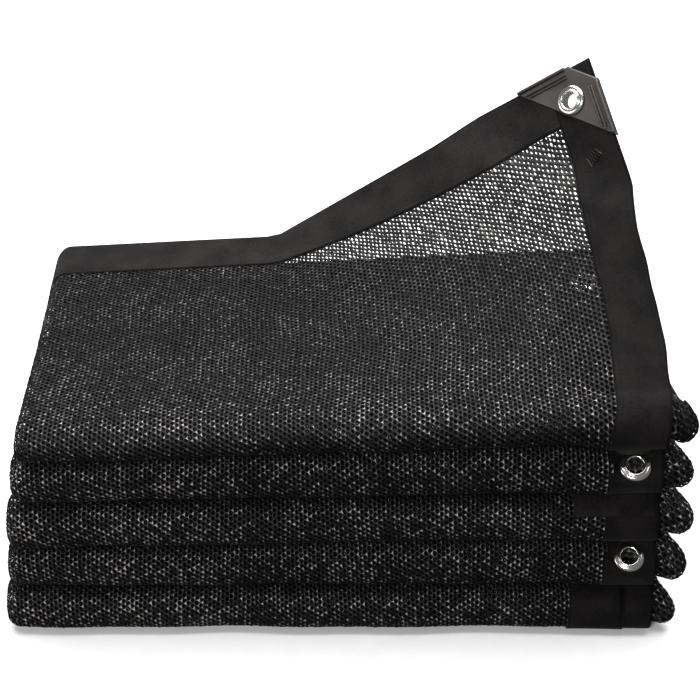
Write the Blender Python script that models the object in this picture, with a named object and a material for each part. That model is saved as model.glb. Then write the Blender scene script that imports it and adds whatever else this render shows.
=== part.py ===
"""Shade cloth of knitted mesh with a bound edge, folded for sale, with one corner lifted.

The mesh is doubled twice across its width, which makes a strip of four plies.
The strip is folded back and forth into ten layers, so five rolls show at the front.
The top ply of the top layer is the leaf, and its right back corner stands up.
The mesh is one sheet. Its solid is parted out of sight, half way back under each roll,
so that every roll is a simple solid of its own.

Sizes here are millimetres and are turned to metres when a mesh is made.
+X is to the right of the rolls, +Y runs back from them and +Z is up.
"""
import math

import bmesh
import bpy
import numpy as np
from mathutils import Matrix, Vector

MM = 0.001
SEAM_GAP = 0.3
FOLD_SEAM = 1.5

# The mesh and its plies, counted from the outside of a front roll
MESH_THICKNESS = 1.8
OUTER_RANK = 1.5
UNDER_RANK = 0.5
INNER_RANK = -1.5
ROLL_GAP = 2.0
CORE_GAP = 4.4

# The woven tape over the edges
TAPE_WIDTH = 38.0
TAPE_OUT = 0.9
TAPE_IN = -1.5
UNDER_EDGE = -30.0

# The stack from front to back
FOLD_START_Y = 24.0
BACK_FOLD_Y = 184.0
BACK_FOLD_REACH = 2.0
UNDER_END_Y = 205.0
BOTTOM_END_Y = 200.0
NOSE_DROP = -0.2
BULGE_START = 6.0

# One row for each front roll, from the top: its upper crease, how much that crease rises
# over its run to the right and sags under the tape, its left end, its taped edge, its
# right bulge and its nose
ROLL_COLUMNS = ("top", "rise", "sag", "left", "hem", "bulge", "nose")
ROLLS = (
    (202.7, 12.0, 0.0, -229.0, 222.0, 240.0, 0.0),
    (169.7, 8.0, 6.3, -236.0, 215.5, 242.0, 2.0),
    (126.6, 4.0, 0.0, -243.0, 217.0, 247.0, 0.5),
    (84.5, 5.0, 3.5, -247.0, 219.5, 247.0, 2.5),
    (41.7, 1.0, 2.0, -252.0, 220.5, 243.0, 0.0),
)
RISE_RUN = 200.0
SAG_X = (145.0, 176.0)
PART_SHARE = 0.5

# Towards the back every layer narrows to one width, but the leaf hardly does
BACK_WIDTH = {"left": -221.0, "bulge": 214.0}
LEAF_BACK_LEFT = -227.5
TAPER_RUN = 78.0

# The leaf: its back edge, where it starts to rise and its lifted corner. At two places
# across it, how far its middle is drawn in, how far back it lies and how high it lifts
LEAF_BACK_Y = 237.0
LEAF_BEND_X = -57.0
LEAF_CORNER = (171.3, 223.5, 359.6)
LEAF_BELLY = (
    (90.0, 2.4, 163.6, 28.8),
    (222.0, -33.6, 179.5, 108.4),
)

# The flat of the lifted corner: its two edge directions, its reach and how it fades out
CORNER_INWARD = (-53.0, 16.2, -43.6)
CORNER_FORWARD = (20.1, -51.8, -43.6)
CORNER_FLAT = 92.0
CORNER_FADE = 42.0

# The folds across the strip, each with its half width in X, and the rank of the bulge past
# the tape, which drops to pass under the tape and lies lower still beside the under tape
LEFT_FOLD = 9.0
INNER_FOLD = 4.0
INNER_FOLD_IN = 7.0
RIGHT_FOLD = 8.0
BULGE_RANK = 1.0
BULGE_RANK_BACK = 0.3
BULGE_PAST_HEM = 3.0
BULGE_RUN = 4.0
UNDER_TAPE_SHARE = 0.4
BESIDE_TAPE_RANK = -0.4
BESIDE_TAPE_GAP = 2.0
FOLD_LEAF_SHARE = 0.999

# How full the underside of a front fold is, and how many steps each run has
FRONT_FULLNESS = 0.8
STEPS = {"outer": 9, "left": 4, "inner_ply": 5, "right": 4, "middle_ply": 3, "inner_left": 3, "under": 4}
FRONT_ANGLES = (90, 66, 40, 10, -24, -57, -90)
EYELET_FACET = (66, 6)
EYELET_ANGLES = (90,) + EYELET_FACET + (-10, -33, -62, -90)
BACK_ANGLES = (90, 50, 15, -15, -50, -90)
LEAF_ROWS = (1.0, 0.92, 0.84, 0.66, 0.48, 0.32, 0.16)
LEAF_CURVE_STEPS = 33
NEAR_X = 0.5
NEAR_ALONG = 0.002

# Pressed metal eyelets
EYELET_BORE = 5.8
EYELET_BARREL = 6.5
EYELET_RIM = 11.0
EYELET_HOLE = 6.95
EYELET_HOLE_DEPTH = 14.0
EYELET_LIP = (0.8, 1.9)
EYELET_LIP_INNER = 1.2
EYELET_LIP_OUTER = (2.0, 1.7)
EYELET_DOME = (1.2, 0.9)
EYELET_WASHER = (0.4, 0.6, 0.9)
EYELET_STEPS = 20
EYELET_BESIDE = 5.0
ROLL_EYELET_IN = 19.0
EYELET_ROLLS = (1, 3)
UNDER_EYELET_Y = 161.0
CORNER_EYELET = 23.0

# Moulded corner protector, measured along the cloth's two edges from its corner
PROTECTOR_LEGS = (68.0, 66.0)
PROTECTOR_NOTCH = 0.28
PROTECTOR_SLOT = (0.08, 1.2)
PROTECTOR_EDGE = 2.3
PROTECTOR_WALL = 1.7
PROTECTOR_CLEAR = 0.4

COLOURS = {
    "mesh": (0.022, 0.021, 0.021, 1.0),
    "tape": (0.030, 0.027, 0.026, 1.0),
    "plastic": (0.075, 0.068, 0.063, 1.0),
    "nickel": (0.80, 0.80, 0.79, 1.0),
}


def clear_scene():
    for item in list(bpy.data.objects):
        bpy.data.objects.remove(item, do_unlink=True)


def finish(name, colour, roughness, metallic):
    material = bpy.data.materials.new(name)
    material.use_nodes = True
    shader = material.node_tree.nodes["Principled BSDF"]
    shader.inputs["Base Color"].default_value = colour
    shader.inputs["Roughness"].default_value = roughness
    shader.inputs["Metallic"].default_value = metallic
    return material


def smooth(share):
    share = min(max(share, 0.0), 1.0)
    return share * share * (3.0 - 2.0 * share)


def roll_value(position, column):
    """A roll's own width value, blended between rolls where the cloth passes behind."""
    index = ROLL_COLUMNS.index(column)
    low = min(int(position), len(ROLLS) - 1)
    high = min(low + 1, len(ROLLS) - 1)
    share = position - low
    return ROLLS[low][index] * (1.0 - share) + ROLLS[high][index] * share


def crease(number, x):
    """Height of the crease above roll number: it rises to the right and sags at the tape."""
    if number == len(ROLLS):
        return 0.0
    top, rise, sag = ROLLS[number][:3]
    under_tape = min(max((x - SAG_X[0]) / (SAG_X[1] - SAG_X[0]), 0.0), 1.0)
    return top + rise * x / RISE_RUN - sag * under_tape


def roll_span(number, x):
    """Middle height and full height of a roll at x."""
    upper, lower = crease(number, x), crease(number + 1, x)
    return (upper + lower) / 2.0, upper - lower


def ply_radius(rank, offset, height):
    """Distance of a ply from the middle height of its roll."""
    outer = height / 2.0 - ROLL_GAP / 2.0 - MESH_THICKNESS / 2.0
    inner = CORE_GAP / 2.0
    share = (rank - INNER_RANK) / (OUTER_RANK - INNER_RANK)
    return inner + (outer - inner) * share + offset


def front_profile(angle):
    """How far out and up a front fold stands: 90 degrees is its top, -90 its underside."""
    turn = math.radians(angle)
    if angle >= 0:
        return math.cos(turn), NOSE_DROP + (1.0 - NOSE_DROP) * math.sin(turn)
    drop = (1.0 + NOSE_DROP) * math.sin(-turn) ** FRONT_FULLNESS
    return math.cos(turn) ** FRONT_FULLNESS, NOSE_DROP - drop


def front_point(number, angle, x, rank, offset):
    """A point on the front fold of a roll."""
    out, up = front_profile(angle)
    middle, height = roll_span(number, x)
    radius = ply_radius(rank, offset, height)
    nose = ROLLS[number][ROLL_COLUMNS.index("nose")]
    reach = FOLD_START_Y - nose - (height - ROLL_GAP) / 2.0
    return np.array((x, FOLD_START_Y - (radius + reach) * out, middle + radius * up))


def back_point(number, angle, x, rank, offset):
    """A point on the fold behind the crease under a roll."""
    level = crease(number + 1, x)
    upper = roll_span(number, x)[1]
    lower = roll_span(number + 1, x)[1]
    above = upper / 2.0 - ply_radius(rank, offset, upper)
    below = lower / 2.0 - ply_radius(rank, offset, lower)
    turn = math.radians(angle)
    half = above if angle >= 0 else below
    out = ((above + below) / 2.0 + BACK_FOLD_REACH) * math.cos(turn)
    return np.array((x, BACK_FOLD_Y + out, level + half * math.sin(turn)))


def flat_point(layer, share, x, rank, offset):
    """A point on a flat layer: share 0 is at the front fold and 1 at the back."""
    middle, height = roll_span(layer // 2, x)
    radius = ply_radius(rank, offset, height)
    end = BOTTOM_END_Y if layer == 2 * len(ROLLS) - 1 else BACK_FOLD_Y
    y = FOLD_START_Y + share * (end - FOLD_START_Y)
    return np.array((x, y, middle + radius * (1 if layer % 2 == 0 else -1)))


def leaf_level(x):
    middle, height = roll_span(0, x)
    return middle + ply_radius(OUTER_RANK, 0.0, height)


def leaf_ends(x):
    """The front line, middle and back line that bend the leaf at x."""
    front = np.array((x, FOLD_START_Y, leaf_level(x)))
    if x <= LEAF_BEND_X:
        back = np.array((x, LEAF_BACK_Y, leaf_level(x)))
        return front, (front + back) / 2.0, back
    edge = ROLLS[0][ROLL_COLUMNS.index("hem")]
    share = (x - LEAF_BEND_X) / (edge - LEAF_BEND_X)
    bend = np.array((LEAF_BEND_X, LEAF_BACK_Y, leaf_level(LEAF_BEND_X)))
    back = bend + share * (np.array(LEAF_CORNER) - bend)
    flat = np.array((LEAF_BEND_X, (FOLD_START_Y + LEAF_BACK_Y) / 2.0, bend[2]))
    bellies = []
    for across, drawn_in, y, lift in LEAF_BELLY:
        bellies.append(np.array((across + drawn_in, y, leaf_level(across) + lift)))
    near = (LEAF_BELLY[0][0] - LEAF_BEND_X) / (edge - LEAF_BEND_X)
    weights = (
        (share - near) * (share - 1.0) / near,
        share * (share - 1.0) / (near * (near - 1.0)),
        share * (share - near) / (1.0 - near),
    )
    belly = weights[0] * flat + weights[1] * bellies[0] + weights[2] * bellies[1]
    return front, belly, back


def curved_leaf(x, along):
    """The leaf before its corner is flattened; along is 0 at the front and 1 at the back."""
    front, belly, back = leaf_ends(x)
    steps = np.linspace(0.0, 1.0, LEAF_CURVE_STEPS)[:, None]
    line = (1 - steps) ** 2 * front + 2 * steps * (1 - steps) * belly + steps ** 2 * back
    run = np.concatenate(([0.0], np.cumsum(np.linalg.norm(np.diff(line, axis=0), axis=1))))
    wanted = along * run[-1]
    if wanted > run[-1]:
        tangent = (line[-1] - line[-2]) / (run[-1] - run[-2])
        return line[-1] + tangent * (wanted - run[-1]), run[-1]
    return np.array([np.interp(wanted, run, line[:, axis]) for axis in range(3)]), run[-1]


def corner_plane():
    """The lifted corner, its two edge directions and the way up of its flat."""
    inward = np.array(CORNER_INWARD) / np.linalg.norm(CORNER_INWARD)
    forward = np.array(CORNER_FORWARD)
    forward = forward - inward * inward.dot(forward)
    forward /= np.linalg.norm(forward)
    return np.array(LEAF_CORNER), inward, forward, np.cross(inward, forward)


def leaf_middle(x, along, plane):
    point, length = curved_leaf(x, along)
    edge = ROLLS[0][ROLL_COLUMNS.index("hem")]
    from_side = edge - x
    from_end = (1.0 - along) * length
    hold = 1.0 - smooth((from_side + from_end - CORNER_FLAT) / CORNER_FADE)
    if hold <= 0.0:
        return point
    corner, inward, forward, up = plane
    flat = corner + inward * from_side + forward * from_end
    return point * (1.0 - hold) + flat * hold


def leaf_point(x, along, offset, plane):
    point = leaf_middle(x, along, plane)
    if offset == 0.0:
        return point
    across = leaf_middle(x + NEAR_X, along, plane) - leaf_middle(x - NEAR_X, along, plane)
    back = leaf_middle(x, along + NEAR_ALONG, plane) - leaf_middle(x, along - NEAR_ALONG, plane)
    up = np.cross(across, back)
    return point + up / np.linalg.norm(up) * offset


class Station:
    """One crossing of the strip, from which a ring of the swept mesh is made."""

    def __init__(self, kind, number, value, place, in_tape=False):
        self.kind = kind
        self.number = number
        self.value = value
        self.place = place
        self.in_tape = in_tape

    def depth(self):
        """Distance behind the front folds."""
        if self.kind == "front":
            return 0.0
        if self.kind == "back" or self.in_tape:
            return BACK_FOLD_Y - FOLD_START_Y
        return self.value * (BACK_FOLD_Y - FOLD_START_Y)

    def taper(self):
        return min(self.depth() / TAPER_RUN, 1.0)

    def width(self, column):
        """The strip's left end or right bulge here: it narrows towards the back."""
        front = roll_value(self.place, column)
        back = LEAF_BACK_LEFT if self.kind == "leaf" and column == "left" else BACK_WIDTH[column]
        width = front + (back - front) * self.taper()
        if column == "bulge" and self.kind == "front":
            width -= BULGE_START * front_profile(self.value)[0]
        return width

    def bulge_rank(self):
        """The bulge stands free of the tape at the front and lies under it at the back."""
        return BULGE_RANK + (BULGE_RANK_BACK - BULGE_RANK) * min(2.0 * self.taper(), 1.0)


def stations(angles_for, leaf_rows, last_share):
    found = [Station("leaf", 0, row, 0.0) for row in leaf_rows]
    for number in range(len(ROLLS)):
        found += [Station("front", number, angle, float(number)) for angle in angles_for(number)]
        layer = 2 * number + 1
        if number == len(ROLLS) - 1:
            found.append(Station("flat", layer, 0.5 * last_share, float(number)))
            found.append(Station("flat", layer, last_share, float(number)))
            break
        found.append(Station("flat", layer, PART_SHARE, number + 0.25))
        found += [Station("back", number, angle, number + 0.5) for angle in BACK_ANGLES]
        found.append(Station("flat", layer + 1, 0.5, number + 0.75))
    return found


def tape_share(x, rank, station):
    """Where a leaf row lies between the front and the back edge, with the tape at the end."""
    length = curved_leaf(x, 1.0)[1] if rank == OUTER_RANK else UNDER_END_Y - FOLD_START_Y
    seam = 1.0 - TAPE_WIDTH / length
    if station.in_tape:
        return seam + (1.0 - seam) * station.value
    return station.value * (seam - SEAM_GAP / length)


def place(station, x, rank, offset, plane, on_leaf=0.0, along=None):
    if station.kind == "front":
        return front_point(station.number, station.value, x, rank, offset)
    if station.kind == "back":
        return back_point(station.number, station.value, x, rank, offset)
    if station.kind == "flat":
        return flat_point(station.number, station.value, x, rank, offset)
    share = station.value if along is None else along
    if on_leaf == 1.0:
        return leaf_point(x, share, offset, plane)
    middle, height = roll_span(0, x)
    end = UNDER_END_Y + (LEAF_BACK_Y - UNDER_END_Y) * on_leaf
    y = FOLD_START_Y + share * (end - FOLD_START_Y)
    return np.array((x, y, middle + ply_radius(rank, offset, height)))


def strip_section(station, hem_in, under_in):
    """Centre points of the four plies: x, rank, outward x, outward rise, share on the leaf."""
    left = station.width("left")
    hem = roll_value(station.place, "hem")
    bulge = station.width("bulge")
    plump = station.bulge_rank()
    rows = []

    def ply(start, end, rank_start, rank_end, side, count, on_leaf, skip=0):
        shares = {step / count for step in range(skip, count + 1)}
        shares |= {(x - start) / (end - start) for x in SAG_X if min(start, end) < x < max(start, end)}
        for share in sorted(shares):
            rank = rank_start + (rank_end - rank_start) * share
            rows.append((start + (end - start) * share, rank, 0.0, side, on_leaf))

    def fold(middle, half, rank_low, rank_high, start, end, turn_in, count, leaf_from):
        for step in range(1, count):
            turn = math.radians(start + (end - start) * step / count)
            centre = (rank_low + rank_high) / 2.0
            rank = centre + (rank_high - rank_low) / 2.0 * math.sin(turn)
            out = math.cos(turn)
            rise = -math.sin(turn) if turn_in else math.sin(turn)
            on_leaf = leaf_from * (0.5 + 0.5 * math.sin(turn))
            x = middle - half * out if turn_in else middle + half * out
            rows.append((x, rank, out, rise, min(on_leaf, FOLD_LEAF_SHARE)))

    ply(hem - hem_in, left + LEFT_FOLD, OUTER_RANK, OUTER_RANK, 1.0, STEPS["outer"], 1.0)
    fold(left + LEFT_FOLD, LEFT_FOLD, INNER_RANK, OUTER_RANK, 90, 270, False, STEPS["left"], 1.0)
    ply(left + LEFT_FOLD, bulge - RIGHT_FOLD, INNER_RANK, INNER_RANK, -1.0, STEPS["inner_ply"], 0.0)
    fold(bulge - RIGHT_FOLD, RIGHT_FOLD, INNER_RANK, plump, -90, 90, False, STEPS["right"], 0.0)
    under_tape = min(hem + BULGE_PAST_HEM, bulge - RIGHT_FOLD - BULGE_RUN)
    lower = UNDER_TAPE_SHARE * plump
    beside = hem + UNDER_EDGE - BESIDE_TAPE_GAP
    ply(bulge - RIGHT_FOLD, under_tape, plump, lower, 1.0, 1, 0.0)
    ply(under_tape, beside, lower, BESIDE_TAPE_RANK, 1.0, 1, 0.0, 1)
    inner = left + INNER_FOLD_IN + INNER_FOLD
    ply(beside, inner, BESIDE_TAPE_RANK, -UNDER_RANK, 1.0, STEPS["middle_ply"], 0.0, 1)
    fold(inner, INNER_FOLD, -UNDER_RANK, UNDER_RANK, -90, 90, True, STEPS["inner_left"], 0.0)
    ply(inner, hem - under_in, UNDER_RANK, UNDER_RANK, -1.0, STEPS["under"], 0.0)
    return rows


def add_piece(name, points, faces, material):
    mesh = bpy.data.meshes.new(name)
    mesh.from_pydata([tuple(float(value) * MM for value in point) for point in points], [], faces)
    work = bmesh.new()
    work.from_mesh(mesh)
    bmesh.ops.recalc_face_normals(work, faces=work.faces)
    work.to_mesh(mesh)
    work.free()
    mesh.materials.append(material)
    piece = bpy.data.objects.new(name, mesh)
    bpy.context.scene.collection.objects.link(piece)
    return piece


def sweep(name, rings, material):
    """A closed solid through rings of equal count, with its two ends capped."""
    points, faces = [], []
    count = len(rings[0])
    for ring in rings:
        points += ring
    for row in range(len(rings) - 1):
        for step in range(count):
            following = (step + 1) % count
            low, high = row * count, (row + 1) * count
            faces.append((low + step, low + following, high + following, high + step))
    half = count // 2
    for start, flip in ((0, False), ((len(rings) - 1) * count, True)):
        for step in range(half - 1):
            quad = (step, step + 1, count - 2 - step, count - 1 - step)
            quad = tuple(start + corner for corner in quad)
            faces.append(quad[::-1] if flip else quad)
    return add_piece(name, points, faces, material)


def section_ring(station, plane, out, into, hem_in, under_in):
    """A closed ring of points round the section: one face of the cloth, then the other."""
    rows = strip_section(station, hem_in, under_in)
    ring = []
    for offset, part in ((out, rows), (into, rows[::-1])):
        for x, rank, outward, rise, on_leaf in part:
            along = None
            if station.kind == "leaf":
                upper = tape_share(x, OUTER_RANK, station)
                under = tape_share(x, UNDER_RANK, station)
                along = under + (upper - under) * on_leaf
                if 0.0 < on_leaf < 1.0:
                    y_upper = FOLD_START_Y + upper * (LEAF_BACK_Y - FOLD_START_Y)
                    y_under = FOLD_START_Y + under * (UNDER_END_Y - FOLD_START_Y)
                    y = y_under + (y_upper - y_under) * on_leaf
                    if not station.in_tape:
                        y -= FOLD_SEAM * 4.0 * on_leaf * (1.0 - on_leaf)
                    end = UNDER_END_Y + (LEAF_BACK_Y - UNDER_END_Y) * on_leaf
                    along = (y - FOLD_START_Y) / (end - FOLD_START_Y)
            shifted = x + outward * offset
            ring.append(place(station, shifted, rank, rise * offset, plane, on_leaf, along))
    return ring


def parted(found):
    """The stations of each roll's own solid: the sheet is parted half way back under it."""
    half_gap = SEAM_GAP / 2.0 / (BACK_FOLD_Y - FOLD_START_Y)
    rolls = [[]]
    for station in found:
        if station.kind == "flat" and station.number % 2 == 1 and len(rolls) < len(ROLLS):
            rolls[-1].append(Station("flat", station.number, PART_SHARE - half_gap, station.place))
            rolls.append([Station("flat", station.number, PART_SHARE + half_gap, station.place)])
        else:
            rolls[-1].append(station)
    return rolls


def make_cloth(plane, material):
    last = 1.0 - (TAPE_WIDTH + SEAM_GAP) / (BOTTOM_END_Y - FOLD_START_Y)
    half = MESH_THICKNESS / 2.0
    side = TAPE_WIDTH + 2.0 * SEAM_GAP
    rolls = parted(stations(lambda number: FRONT_ANGLES, LEAF_ROWS, last))
    for number, found in enumerate(rolls, 1):
        rings = [section_ring(station, plane, half, -half, side, side - UNDER_EDGE) for station in found]
        sweep("mesh_roll_%d" % number, rings, material)


def make_end_binding_top(plane, material):
    side = TAPE_WIDTH + SEAM_GAP
    rings = []
    for row in (0.0, 0.5, 1.0):
        station = Station("leaf", 0, row, 0.0, True)
        rings.append(section_ring(station, plane, TAPE_OUT, TAPE_IN, side, side - UNDER_EDGE))
    return sweep("end_binding_top", rings, material)


def make_end_binding_bottom(plane, material):
    side = TAPE_WIDTH + SEAM_GAP
    layer = 2 * len(ROLLS) - 1
    seam = 1.0 - TAPE_WIDTH / (BOTTOM_END_Y - FOLD_START_Y)
    rings = []
    for share in (seam, 1.0):
        station = Station("flat", layer, share, float(len(ROLLS) - 1))
        rings.append(section_ring(station, plane, TAPE_OUT, TAPE_IN, side, side - UNDER_EDGE))
    return sweep("end_binding_bottom", rings, material)


def make_side_binding(name, plane, material, rank, edge_in, out, into, on_leaf):
    """A tape that follows one side edge of the cloth from end to end."""

    def angles_for(number):
        return EYELET_ANGLES if number in EYELET_ROLLS else FRONT_ANGLES

    inner_edge = ROLLS[0][ROLL_COLUMNS.index("hem")] + edge_in - TAPE_WIDTH
    seam = 1.0 - TAPE_WIDTH / curved_leaf(inner_edge, 1.0)[1]
    leaf_rows = [1.0, (1.0 + seam) / 2.0] + [seam * row for row in LEAF_ROWS]
    rings = []
    for station in stations(angles_for, leaf_rows, 1.0):
        edge = roll_value(station.place, "hem") + edge_in
        columns = [edge - TAPE_WIDTH, edge]
        columns[1:1] = [x for x in SAG_X if columns[0] < x < edge]
        ring = [place(station, x, rank, out, plane, on_leaf) for x in columns[::-1]]
        ring += [place(station, x, rank, into, plane, on_leaf) for x in columns]
        rings.append(ring)
    return sweep(name, rings, material)


def frame_matrix(origin, across, up):
    """A matrix whose Z is up and whose X lies along across."""
    z = Vector(up).normalized()
    x = Vector(across)
    x = (x - z * x.dot(z)).normalized()
    y = z.cross(x)
    turned = Matrix((x, y, z)).transposed().to_4x4()
    return Matrix.Translation(Vector(origin) * MM) @ turned


def roll_eyelet_frame(number):
    """The flat facet of the tape, high on the front of a roll."""
    hem = roll_value(float(number), "hem")
    x = hem - ROLL_EYELET_IN
    ends = [front_point(number, angle, x, OUTER_RANK, 0.0) for angle in EYELET_FACET]
    beside = [front_point(number, angle, x + EYELET_BESIDE, OUTER_RANK, 0.0) for angle in EYELET_FACET]
    across = sum(beside) - sum(ends)
    up = np.cross(across, ends[0] - ends[1])
    return frame_matrix(sum(ends) / 2.0, across, up)


def under_eyelet_frame():
    x = roll_value(0.0, "hem") + UNDER_EDGE - TAPE_WIDTH / 2.0
    share = (UNDER_EYELET_Y - FOLD_START_Y) / (UNDER_END_Y - FOLD_START_Y)
    station = Station("leaf", 0, share, 0.0)
    left, right = (place(station, x + side, UNDER_RANK, 0.0, None) for side in (-EYELET_RIM, EYELET_RIM))
    across = right - left
    return frame_matrix((left + right) / 2.0, across, np.cross(across, (0.0, 1.0, 0.0)))


def eyelet(name, matrix, front, back, material):
    """A turned ring clamped on what it holds, with a rolled lip round its bore."""
    front += SEAM_GAP
    back += SEAM_GAP
    inset, thin, thick = EYELET_WASHER
    profile = (
        (EYELET_BORE, -back - thin),
        (EYELET_BORE, front + EYELET_LIP_INNER),
        (EYELET_BORE + EYELET_LIP[0], front + EYELET_LIP[1]),
        (EYELET_BORE + EYELET_LIP_OUTER[0], front + EYELET_LIP_OUTER[1]),
        (EYELET_RIM - EYELET_DOME[0], front + EYELET_DOME[1]),
        (EYELET_RIM, front),
        (EYELET_BARREL, front),
        (EYELET_BARREL, -back),
        (EYELET_RIM - inset, -back),
        (EYELET_RIM - EYELET_DOME[0], -back - thin),
        (EYELET_BORE + EYELET_LIP[0], -back - thick),
    )
    points, faces = [], []
    for step in range(EYELET_STEPS):
        turn = 2.0 * math.pi * step / EYELET_STEPS
        points += [(r * math.cos(turn), r * math.sin(turn), z) for r, z in profile]
    count = len(profile)
    for step in range(EYELET_STEPS):
        following = (step + 1) % EYELET_STEPS
        for row in range(count):
            other = (row + 1) % count
            faces.append((step * count + row, following * count + row,
                          following * count + other, step * count + other))
    piece = add_piece(name, points, faces, material)
    piece.matrix_world = matrix
    piece.data.shade_smooth()
    piece.data.set_sharp_from_angle(angle=math.radians(40))
    return piece


def cut_by(piece, cutter):
    cutter.hide_render = True
    cutter.display_type = "WIRE"
    cut = piece.modifiers.new(cutter.name, "BOOLEAN")
    cut.operation = "DIFFERENCE"
    cut.object = cutter


def cut_hole(piece, name, matrix):
    """A round hole through a tape or the protector for an eyelet's barrel."""
    work = bmesh.new()
    bmesh.ops.create_cone(work, cap_ends=True, segments=EYELET_STEPS, radius1=EYELET_HOLE * MM,
                          radius2=EYELET_HOLE * MM, depth=EYELET_HOLE_DEPTH * MM, matrix=matrix)
    mesh = bpy.data.meshes.new(name)
    work.to_mesh(mesh)
    work.free()
    cutter = bpy.data.objects.new(name, mesh)
    bpy.context.scene.collection.objects.link(cutter)
    cut_by(piece, cutter)


def corner_slab(name, plane, reach, edge, low, high, material):
    """A flat slab across the corner, between two shares of the protector's edges."""
    corner, inward, forward, up = plane
    points = []
    for level in (low, high):
        for share in reach:
            for side, end in ((share, 0.0), (0.0, share)):
                spot = corner + inward * (PROTECTOR_LEGS[0] * side - edge)
                points.append(spot + forward * (PROTECTOR_LEGS[1] * end - edge) + up * level)
    faces = ((0, 1, 3, 2), (4, 6, 7, 5), (0, 2, 6, 4), (1, 5, 7, 3), (0, 4, 5, 1), (2, 3, 7, 6))
    return add_piece(name, points, faces, material)


def make_protector(plane, material):
    """Two walls joined round both edges, with a slot between them that holds the tape."""
    top = TAPE_OUT + PROTECTOR_CLEAR
    bottom = TAPE_IN - PROTECTOR_CLEAR
    piece = corner_slab("corner_protector", plane, (PROTECTOR_NOTCH, 1.0), PROTECTOR_EDGE,
                        bottom - PROTECTOR_WALL, top + PROTECTOR_WALL, material)
    cut_by(piece, corner_slab("protector_slot", plane, PROTECTOR_SLOT, SEAM_GAP, bottom, top, material))
    return piece


def make_eyelets(plane, pieces, material):
    corner, inward, forward, up = plane
    middle = corner + (inward + forward) * CORNER_EYELET
    corner_matrix = frame_matrix(middle, -inward, up)
    wall = PROTECTOR_CLEAR + PROTECTOR_WALL
    eyelet("eyelet_corner", corner_matrix, TAPE_OUT + wall, wall - TAPE_IN, material)
    cut_hole(pieces["side_upper"], "hole_corner_tape", corner_matrix)
    cut_hole(pieces["protector"], "hole_corner_protector", corner_matrix)
    for number in EYELET_ROLLS:
        matrix = roll_eyelet_frame(number)
        eyelet("eyelet_roll_%d" % (number + 1), matrix, TAPE_OUT, -TAPE_IN, material)
        cut_hole(pieces["side_upper"], "hole_roll_%d" % (number + 1), matrix)
    matrix = under_eyelet_frame()
    eyelet("eyelet_under", matrix, -TAPE_IN, TAPE_OUT, material)
    cut_hole(pieces["side_under"], "hole_under", matrix)


def stand_on_floor():
    """The origin goes to the middle of the base, from the part's own bounds."""
    depsgraph = bpy.context.evaluated_depsgraph_get()
    low, high = np.full(3, np.inf), np.full(3, -np.inf)
    for item in bpy.data.objects:
        if item.hide_render:
            continue
        shaped = item.evaluated_get(depsgraph)
        for corner in shaped.data.vertices:
            spot = np.array(shaped.matrix_world @ corner.co)
            low, high = np.minimum(low, spot), np.maximum(high, spot)
    shift = Vector((-(low[0] + high[0]) / 2.0, -(low[1] + high[1]) / 2.0, -low[2]))
    for item in bpy.data.objects:
        item.matrix_world = Matrix.Translation(shift) @ item.matrix_world


def main():
    clear_scene()
    mesh = finish("knitted_mesh", COLOURS["mesh"], 0.75, 0.0)
    tape = finish("woven_tape", COLOURS["tape"], 0.8, 0.0)
    plastic = finish("moulded_plastic", COLOURS["plastic"], 0.45, 0.0)
    nickel = finish("pressed_nickel", COLOURS["nickel"], 0.2, 1.0)
    plane = corner_plane()
    make_cloth(plane, mesh)
    make_end_binding_top(plane, tape)
    make_end_binding_bottom(plane, tape)
    pieces = {
        "side_upper": make_side_binding("side_binding_upper", plane, tape, OUTER_RANK, 0.0,
                                        TAPE_OUT, TAPE_IN, 1.0),
        "side_under": make_side_binding("side_binding_under", plane, tape, UNDER_RANK, UNDER_EDGE,
                                        -TAPE_IN, -TAPE_OUT, 0.0),
        "protector": make_protector(plane, plastic),
    }
    make_eyelets(plane, pieces, nickel)
    stand_on_floor()


main()
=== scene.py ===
"""Folded shade cloth: knitted mesh with bound edges, pressed eyelets and a moulded corner.

Shapes are worked out in millimetres in the solids' own frame, and SHIFT takes them to the
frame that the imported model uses. Everything that is placed in the scene is in metres.
"""

import math

import bpy
import numpy as np
from mathutils import Matrix, Vector


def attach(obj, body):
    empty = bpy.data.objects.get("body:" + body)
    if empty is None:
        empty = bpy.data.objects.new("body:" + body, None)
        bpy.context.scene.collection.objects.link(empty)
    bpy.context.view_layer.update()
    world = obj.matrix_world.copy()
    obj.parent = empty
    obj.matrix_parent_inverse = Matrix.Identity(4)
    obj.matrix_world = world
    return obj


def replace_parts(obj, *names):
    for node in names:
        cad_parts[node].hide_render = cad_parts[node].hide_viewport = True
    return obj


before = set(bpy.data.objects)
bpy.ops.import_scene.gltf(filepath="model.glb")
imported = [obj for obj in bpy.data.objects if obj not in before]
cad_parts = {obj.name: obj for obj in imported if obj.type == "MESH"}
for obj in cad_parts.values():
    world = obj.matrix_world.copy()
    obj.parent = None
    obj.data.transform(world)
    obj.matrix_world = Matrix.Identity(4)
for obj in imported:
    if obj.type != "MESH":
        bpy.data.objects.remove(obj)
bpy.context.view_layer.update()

MM = 0.001
SHIFT = np.array((2.5, -121.945, -1.0))

# The plies, counted from the outside of a front roll
MESH_THICKNESS = 1.8
OUTER_RANK = 1.5
UNDER_RANK = 0.5
INNER_RANK = -1.5
ROLL_GAP = 2.0
CORE_GAP = 4.4

# The woven tape over the edges
TAPE_WIDTH = 38.0
TAPE_OUT = 0.9
TAPE_IN = -1.5
UNDER_EDGE = -30.0

# The photograph's view: elevation in degrees, focal length in its pixels, and what it looks at
VIEW_ELEVATION = 37.0
VIEW_FOCAL = 1745.0
VIEW_WIDTH = 700.0
VIEW_TARGET = (0.0, 60.0, 220.5)
VIEW_DISTANCE = 1205.0

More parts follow.
